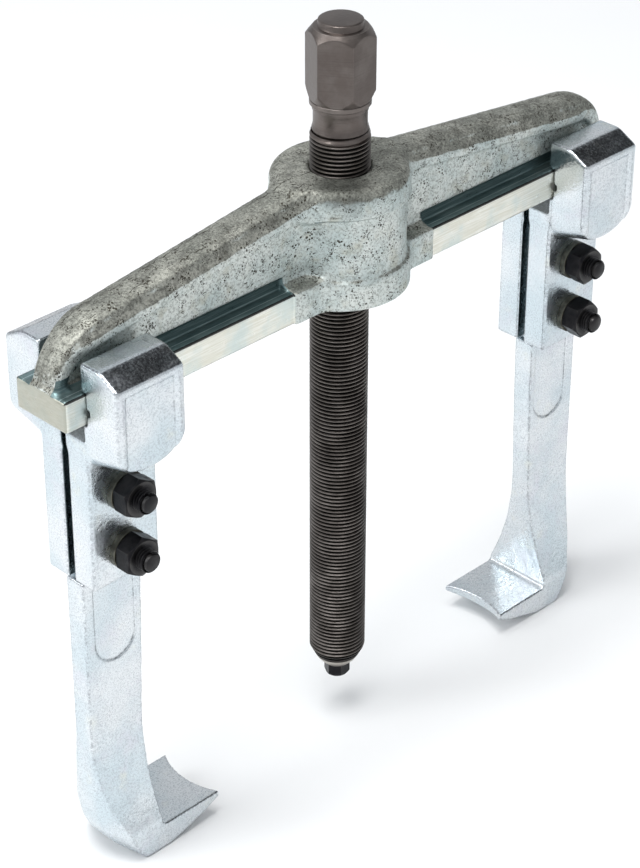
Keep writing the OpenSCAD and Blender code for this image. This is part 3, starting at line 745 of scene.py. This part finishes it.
def jaw_field(u, v, z):
    """One clamp jaw: u along the beam from its centre, v outwards, z from the rail bottom."""
    wall, lip = RAIL_HALF + SLIDE_GAP, RAIL_HEIGHT + SLIDE_GAP
    side = np.abs(u)
    # front face with a shallow panel between two upright ridges
    panel = (1 - ramp(side, 13.0, 14.2)) * (1 - ramp(z, 18.4, 20.0))
    ridge = np.exp(-((side - 15.5) / 0.7) ** 2) * (1 - ramp(z, 17, 22)) * ramp(z, -15, -8)
    face = v - JAW_REACH + 1.1 * panel + 0.7 * (1 - ridge)
    bevel = (v - JAW_REACH + BEVEL_RUN) * 0.463 + (z - JAW_TOP) * 0.887
    block = smooth_both(smooth_both(face, bevel, 1.1), z - JAW_TOP, 1.0)
    block = corner(block, side - JAW_HALF, 1.6)
    inwards = np.clip((JAW_REACH - v) / (JAW_REACH - PLATE_DEPTH), 0, 1)
    drop = CAP_BOTTOM + CAP_ROOT_DROP * inwards
    shield = smooth_both(0.8 * (side - JAW_HALF) - 0.6 * (z + drop - 9.0),
                         -drop + 3.5 * (side / (JAW_HALF - 4)) ** 2 - z, 3.0)
    cap = smooth_both(smooth_both(block, shield, 2.4), SLIT_HALF - v, 0.6)
    plate = box_field(u, v, z, (-JAW_HALF, SLIT_HALF, -JAW_DROP),
                      (JAW_HALF, PLATE_DEPTH, -SLIDE_GAP), 1.1)
    jaw = smooth_join(cap, plate, 2.0)
    slot = np.maximum(v - wall, np.maximum(-SLIDE_GAP - z, z - lip))
    over_lip = np.maximum(v - wall + LIP_DEPTH, lip - z)
    jaw = cut(jaw, slot)
    jaw = smooth_cut(jaw, over_lip, 0.8)
    jaw = cut(jaw, length2(v - wall, z - 6.0) - RELIEF_RADIUS)
    facet = np.maximum((JAW_HALF - JAW_FACET - side - z) * 0.7071, z - 1.0)
    jaw = cut(jaw, np.maximum(facet, np.abs(v - 8.5) - 5.7))
    pocket = np.maximum(np.maximum(side - TONGUE_HALF - 0.05, v - BAR_THICKNESS / 2 - 0.05), z + 10)
    jaw = cut(jaw, pocket)
    for level in (UPPER_BOLT, LOWER_BOLT):
        jaw = cut(jaw, length2(u, z + level) - 5.3)
    return np.maximum(jaw, -JAW_DROP - z)


def build_jaws(material):
    mesh = surface_net(jaw_field, (-JAW_HALF, 0, -JAW_DROP), (JAW_HALF, JAW_REACH, JAW_TOP),
                       JAW_GRID)
    for side, centre in LEG_CENTRE.items():
        for face, turn in (("front", -1), ("back", 1)):
            name = f"{side}_{face}_jaw"
            matrix = Matrix.Translation((centre, 0, REACH)) @ Matrix.Diagonal((1, turn, 1, 1))
            piece = make_piece(name + "_forging", *moved(mesh, matrix), material)
            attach(piece, side + "_leg")
            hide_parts(name)


# ---------------------------------------------------------------- hook legs

def hook_field(u, v, z):
    """Hook leg: u outwards from the leg's centre, v along Y, z from the soles."""
    across = np.abs(v)
    inner_face = BAR_INNER + BAR_TAPER * (1 - ramp(z, TOE_HEIGHT, BAR_TOP))
    past_bar = np.clip(across - BAR_THICKNESS / 2, 0, None) / (FOOT_HALF - BAR_THICKNESS / 2)
    setback = (1.9 + 0.28 * np.clip(z, 0, 25)) * past_bar ** 1.2
    back = u + np.where(z < FLARE_START, setback, 0) - BAR_OUTER
    heel = np.where(z < HEEL_START, length2(back + HEEL_RADIUS, z - HEEL_START) - HEEL_RADIUS, back)
    flare = FLARE_RADIUS - np.sqrt(np.clip(FLARE_RADIUS ** 2 - (z - FLARE_START) ** 2, 0, None))
    half_width = BAR_THICKNESS / 2 + np.where(z < FLARE_START, flare, 0)
    # the flare eases into the foot's full width
    spare = np.clip((FOOT_HALF - half_width) / 0.3, -60, 60)
    half_width = FOOT_HALF - np.log1p(np.exp(spare)) * 0.3
    flank = (across - half_width) * 0.96
    bar = np.maximum(smooth_both(heel, inner_face - u, 0.5), z - BAR_TOP)
    # underside of the toe rises towards the tip
    rise = np.interp(-u, (15.5, 24.5, 37.5, TOE_LENGTH),
                     (0.0, 2.4, 6.4, TOE_HEIGHT - TIP_THICKNESS))
    toe = np.maximum(np.maximum(z - TOE_HEIGHT, u), -TOE_LENGTH - 3 - u)
    side = np.where(z > TOE_HEIGHT + 14, bar, smooth_join(bar, toe, 3.0))
    side = smooth_both(np.maximum(side, heel), (rise - z) * 0.95, 1.0)
    leg = smooth_both(side, flank, 0.5)
    tongue = box_field(u, v, z, (-TONGUE_HALF, -BAR_THICKNESS / 2, BAR_TOP - 6),
                       (TONGUE_HALF, BAR_THICKNESS / 2, TONGUE_TOP), 0.8)
    leg = smooth_join(leg, tongue, 0.8)
    # crisp machined gripping face and concave tip
    above_toe = np.where(u < BAR_INNER + BAR_TAPER - 6.5, TOE_HEIGHT - z, 1.0)
    leg = cut(leg, above_toe)
    leg = cut(leg, length2(u + TOE_LENGTH - 4.9 + TIP_ARC, v) - TIP_ARC)
    # shallow round-ended channel in both faces
    groove = np.where(z > CHANNEL_END, np.abs(u), length2(u, z - CHANNEL_END)) - CHANNEL_HALF
    groove = np.maximum(groove, BAR_THICKNESS / 2 - CHANNEL_DEPTH - across)
    leg = smooth_cut(leg, groove, 1.2)
    return np.maximum(leg, -z)


def build_hooks(material):
    mesh = surface_net(hook_field, (-TOE_LENGTH, -FOOT_HALF, 0), (BAR_OUTER, FOOT_HALF, TONGUE_TOP),
                       HOOK_GRID)
    for side, centre in LEG_CENTRE.items():
        turn = -1 if side == "left" else 1
        matrix = Matrix.Translation((centre, 0, 0)) @ Matrix.Diagonal((turn, 1, 1, 1))
        piece = make_piece(side + "_hook_forging", *moved(mesh, matrix), material)
        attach(piece, side + "_leg")
        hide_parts(side + "_hook")


# ---------------------------------------------------------------- spindle and pin

def hexagon_radius(angles, across_flats, turn):
    """Radius of a hexagon at each angle, with very slightly softened corners."""
    local = (angles - turn + math.pi / 6) % (math.pi / 3) - math.pi / 6
    return np.minimum(across_flats / 2 / np.cos(np.abs(local) - math.pi / 6),
                      across_flats / 2 / math.cos(math.pi / 6) * 0.997)


def hexagon_shell(across_flats, heights, cap_at, turn, steps=144):
    """Hexagon prism whose corners are turned down by cap_at(height)."""
    def radius_at(angles, height):
        return np.minimum(hexagon_radius(angles, across_flats, turn), cap_at(height))
    return polar_shell(heights, radius_at, steps, turn)


def spindle_shape():
    """Thread, neck, drive hexagon, ring and top disc."""
    def crest_at(height):
        lead = THREAD_RADIUS - 2.5 + (height - THREAD_BOTTOM) * 0.5
        runout = THREAD_RADIUS - 0.03 - np.clip(height - THREAD_TOP, 0, None) * 0.29
        return np.minimum(lead, runout)

    thread = helix(THREAD_BOTTOM, THREAD_TOP + 3.4, THREAD_PITCH, 1.15, crest_at)
    tip = lathe([(4.1, SPINDLE_REST + 0.01), (6.1, SPINDLE_REST), (6.6, SPINDLE_REST + 0.3),
                 (8.0, SPINDLE_REST + 1.7), (9.6, SPINDLE_REST + 3.6), (10.7, SPINDLE_REST + 5.4),
                 (11.0, THREAD_BOTTOM + 0.3), (10.6, THREAD_BOTTOM + 1.2)])
    core = lathe([(9.4, THREAD_BOTTOM - 0.5), (10.0, THREAD_BOTTOM + 1.0),
                  (12.2, THREAD_BOTTOM + 5.2), (12.3, THREAD_TOP - 1)])
    neck = lathe([(11.9, THREAD_TOP - 2.0), (12.2, THREAD_TOP + 2.0), (12.62, THREAD_TOP + 2.9),
                  (NECK_RADIUS + 0.15, THREAD_TOP + 4.6), (NECK_RADIUS, THREAD_TOP + 5.4),
                  (NECK_RADIUS, DRIVE_BOTTOM - 4.4), (NECK_RADIUS + 0.4, DRIVE_BOTTOM - 3.8),
                  (NECK_RADIUS + 0.5, DRIVE_BOTTOM - 1.9), (13.3, DRIVE_BOTTOM - 1.5),
                  (COLLAR_RADIUS, DRIVE_BOTTOM - 1.1), (COLLAR_RADIUS, DRIVE_BOTTOM + 0.7),
                  (13.4, DRIVE_BOTTOM + 1.0), (12.9, DRIVE_BOTTOM + 1.05),
                  (12.9, DRIVE_BOTTOM + 1.6)])

    def cap_at(height):
        lower = 13.55 + (height - DRIVE_BOTTOM - 1.2) * 0.45
        upper = 12.3 + (DRIVE_TOP - height) * 0.78
        return min(lower, upper)

    heights = list(np.arange(DRIVE_BOTTOM + 1.2, DRIVE_BOTTOM + 5.9, 0.3))
    heights += list(np.linspace(DRIVE_BOTTOM + 6.5, DRIVE_TOP - 9, 8))
    heights += list(np.arange(DRIVE_TOP - 8, DRIVE_TOP + 0.01, 0.25))
    head = hexagon_shell(DRIVE_SIZE, heights, cap_at, DRIVE_TURN)
    top = DRIVE_TOP
    disc = lathe([(12.3, top - 0.1), (12.2, top + 0.1), (11.2, top + 0.35), (10.15, top + 0.4),
                  (10.0, top + 0.6), (10.0, top + 2.6), (9.85, top + 3.1), (9.4, top + 3.4),
                  (8.6, top + 3.5)])
    return joined([thread, tip, core, neck, head, disc])


def build_spindle(material):
    piece = make_piece("spindle_turned", *spindle_shape(), material)
    sharpen(piece, 38)
    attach(piece, "screw")
    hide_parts("spindle")


def build_pin(material):
    """Hexagonal pressure pin with chamfered lower corners and its shank."""
    bottom = pin_low[2]
    top = bottom + PIN_HEIGHT

    def cap_at(height):
        return min(5.2 + (height - bottom) * 1.1, 6.35)

    heights = [bottom] + list(np.arange(bottom + 0.1, bottom + 1.6, 0.2)) + [top - 0.3, top]
    head = hexagon_shell(PIN_SIZE, heights, cap_at, DRIVE_TURN)
    shank = lathe([(PIN_SHANK, top - 0.5), (PIN_SHANK, pin_high[2])], 48)
    piece = make_piece("pressure_pin_turned", *joined([head, shank]), material)
    sharpen(piece, 38)
    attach(piece, "thrust_pin")
    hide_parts("pressure_pin")


# ---------------------------------------------------------------- fasteners

def nut_shape():
    """Hexagon nut with both faces chamfered, axis up, its seat at height 0."""
    def cap_at(height):
        return min(8.4 + height * 2.0, 8.1 + (NUT_HEIGHT - height) * 1.6)

    heights = list(np.arange(0, 1.2, 0.15)) + [2.5, 4.5]
    heights += list(np.arange(NUT_HEIGHT - 1.8, NUT_HEIGHT - 0.05, 0.15)) + [NUT_HEIGHT - 0.05]
    body = hexagon_shell(NUT_SIZE, heights, cap_at, 0.0, 120)
    rim = lathe([(8.0, NUT_HEIGHT - 0.1), (7.9, NUT_HEIGHT), (5.9, NUT_HEIGHT),
                 (5.1, NUT_HEIGHT - 0.7)], 60)
    return joined([body, rim])


def bolt_shape():
    """Bolt with its head at the back: axis up, head below height 0."""
    end = 2 * PLATE_DEPTH + WASHER_THICKNESS + NUT_HEIGHT + BOLT_SHOW

    def crest_at(height):
        return np.minimum(BOLT_RADIUS, BOLT_RADIUS - (height - end + 1.2) * 0.9)

    thread = helix(end - 8, end - 0.2, BOLT_PITCH, BOLT_PITCH / 2, crest_at, 40)
    core = lathe([(4.2, end - 9), (4.2, end - 1.0), (3.9, end - 0.2), (3.6, end)], 40)
    shank = lathe([(4.98, -0.5), (4.98, end - 7.6)], 40)

    def cap_at(height):
        return 8.4 + (height + HEAD_HEIGHT) * 1.6

    heights = list(np.arange(-HEAD_HEIGHT, -5.0, 0.15)) + [-3.0, -0.1, 0.0]
    head = hexagon_shell(NUT_SIZE, heights, cap_at, 0.0, 120)
    return joined([thread, core, shank, head])


def washer_shape():
    """Flat washer with broken edges, seat at height 0."""
    thick, broken = WASHER_THICKNESS, WASHER_RADIUS - 0.2
    outline = [(WASHER_BORE, 0.0), (broken, 0.0), (WASHER_RADIUS, 0.25),
               (WASHER_RADIUS, thick - 0.25), (broken, thick), (WASHER_BORE, thick)]
    steps = 64
    points, faces = [], []
    for radius, height in outline:
        for k in range(steps):
            angle = 2 * math.pi * k / steps
            points.append((radius * math.cos(angle), radius * math.sin(angle), height))
    rings = len(outline)
    for ring in range(rings):
        a, b = ring * steps, ((ring + 1) % rings) * steps
        for k in range(steps):
            n = (k + 1) % steps
            faces.append((a + k, a + n, b + n, b + k))
    return points, faces


def build_fasteners(black, olive):
    """Bolts, nuts and washers, turned so that their axis points to the front."""
    shapes = {"bolt": (bolt_shape(), PLATE_DEPTH, black, "black_oxide"),
              "nut": (nut_shape(), -PLATE_DEPTH - WASHER_THICKNESS, black, "black_oxide"),
              "washer": (washer_shape(), -PLATE_DEPTH, olive, "olive_zinc")}
    to_front = Matrix.Rotation(math.pi / 2, 4, "X")
    tilts = {("left", "upper"): 32, ("left", "lower"): 28,
             ("right", "upper"): 15, ("right", "lower"): 12}
    for (side, level), tilt in tilts.items():
        drop = UPPER_BOLT if level == "upper" else LOWER_BOLT
        for kind, (shape, start, material, slot) in shapes.items():
            name = f"{side}_{level}_{kind}"
            matrix = (Matrix.Translation((LEG_CENTRE[side], start, REACH - drop)) @ to_front
                      @ Matrix.Rotation(math.radians(tilt), 4, "Z"))
            piece = make_piece(name + "_detailed", *moved(shape, matrix), material)
            sharpen(piece, 35)
            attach(piece, side + "_leg")
            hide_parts(name)


# ---------------------------------------------------------------- stage

def build_floor():
    """Large pale floor under the soles."""
    m = Nodes("studio_floor")
    color = m.mix(m.range(m.noise(2.0, 3), 0.3, 0.7), (0.86, 0.865, 0.87), (0.89, 0.89, 0.89))
    material = m.finish(color, 0.65, metallic=0.0)
    half = 4000
    corners = [(-half, -half, 0), (half, -half, 0), (half, half, 0), (-half, half, 0)]
    floor = make_piece("floor", corners, [(0, 1, 2, 3)], material, smooth=False)


def area_light(name, place, target, size, power, color=(1, 1, 1)):
    data = bpy.data.lights.new(name, "AREA")
    data.shape = "RECTANGLE"
    data.size, data.size_y = size
    data.energy = power
    data.color = color
    lamp = bpy.data.objects.new(name, data)
    lamp.location = place
    lamp.rotation_euler = (Vector(target) - Vector(place)).to_track_quat("-Z", "Y").to_euler()
    bpy.context.scene.collection.objects.link(lamp)


def build_world():
    """Grey room above the floor, darkest to the front right, where the rounded jaw tops look."""
    world = bpy.data.worlds.new("studio")
    world.use_nodes = True
    tree = world.node_tree
    coords = tree.nodes.new("ShaderNodeTexCoord").outputs["Generated"]
    dot = tree.nodes.new("ShaderNodeVectorMath")
    dot.operation = "DOT_PRODUCT"
    dot.inputs[1].default_value = (0.62, -0.16, 0.77)
    tree.links.new(coords, dot.inputs[0])
    fade = tree.nodes.new("ShaderNodeMapRange")
    fade.interpolation_type = "SMOOTHSTEP"
    fade.inputs["From Min"].default_value = 0.80
    fade.inputs["From Max"].default_value = 0.97
    fade.inputs["To Min"].default_value = 0.72
    fade.inputs["To Max"].default_value = 0.05
    tree.links.new(dot.outputs["Value"], fade.inputs["Value"])
    background = tree.nodes["Background"]
    background.inputs["Color"].default_value = (0.94, 0.97, 1.0, 1)
    tree.links.new(fade.outputs[0], background.inputs["Strength"])
    bpy.context.scene.world = world


def build_lights():
    middle = (0, 0, 0.2)
    area_light("overhead", (-0.5, 0.0, 2.3), middle, (1.1, 1.1), 42)
    area_light("left_soft", (-2.0, 0.9, 1.5), middle, (1.2, 1.2), 20, (0.97, 0.99, 1.0))
    build_world()


def build_camera():
    """Camera at the photograph's viewing angle: front left, looking down."""
    azimuth, elevation, roll = (math.radians(angle) for angle in (-44.96, 32.05, 0.1))
    target = Vector((-0.00605, 0.00605, REACH * MM - 0.0823))
    distance = 1.2133
    back = Vector((math.sin(azimuth) * math.cos(elevation),
                   -math.cos(azimuth) * math.cos(elevation), math.sin(elevation)))
    data = bpy.data.cameras.new("camera")
    data.sensor_fit = "VERTICAL"
    data.sensor_height = 24.0
    data.lens = 72.05
    data.clip_end = 50
    camera = bpy.data.objects.new("camera", data)
    camera.location = target + back * distance
    turn = (-back).to_track_quat("-Z", "Y") @ Matrix.Rotation(roll, 3, "Z").to_quaternion()
    camera.rotation_euler = turn.to_euler()
    bpy.context.scene.collection.objects.link(camera)
    bpy.context.scene.camera = camera


# ---------------------------------------------------------------- the whole scene

zinc = zinc_material()
black = black_material()
build_crossbeam(forged_material())
build_jaws(zinc)
build_hooks(zinc)
build_spindle(burnished_material())
build_pin(black)
build_fasteners(black, olive_material())
build_floor()
build_lights()
build_camera()
bpy.context.scene.view_settings.view_transform = "Standard"
